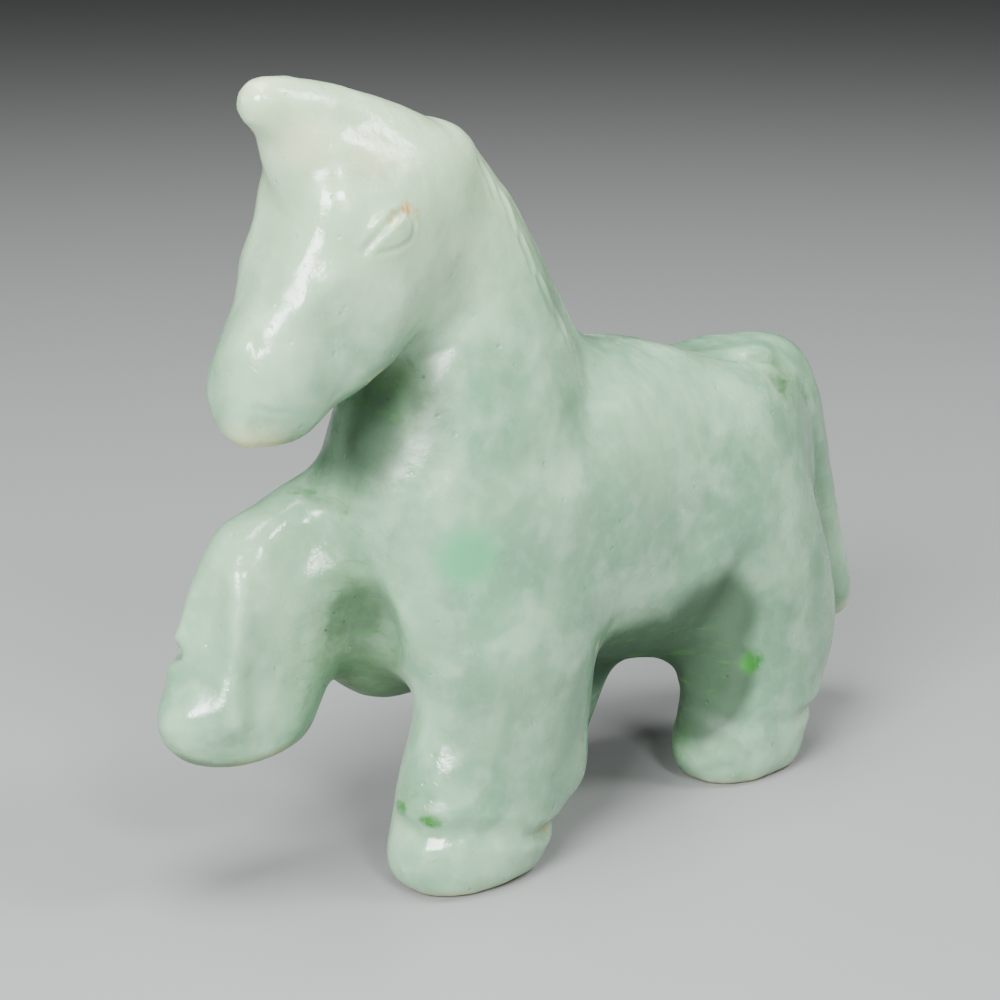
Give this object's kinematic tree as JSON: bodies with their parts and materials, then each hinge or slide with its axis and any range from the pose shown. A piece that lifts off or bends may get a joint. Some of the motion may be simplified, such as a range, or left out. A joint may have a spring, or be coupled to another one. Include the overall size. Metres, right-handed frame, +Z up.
{
  "type": "carved jade horse figurine",
  "caption": "Small pale green jade horse carved in the round, standing on three hooves with one foreleg raised, a swept crest over the brow and a long hanging tail.",
  "frame": {"origin": "on the ground, under the middle of the carving's bounding box", "axes": "+Z up, the horse faces -Y, +X is the horse's left side"},
  "size_m": [0.0256, 0.091, 0.076],
  "materials": {
    "jade": "polished pale celadon jadeite with cloudy patches and green stains"
  },
  "bodies": {
    "root": {"torso": "jade", "neck": "jade", "head": "jade", "crest": "jade", "mane": "jade", "tail": "jade", "left_foreleg": "jade", "left_fore_hoof": "jade", "raised_forearm": "jade", "raised_shin": "jade", "raised_hoof": "jade", "left_hind_leg": "jade", "left_hind_hoof": "jade", "right_hind_leg": "jade", "right_hind_hoof": "jade"}
  },
  "joints": []
}
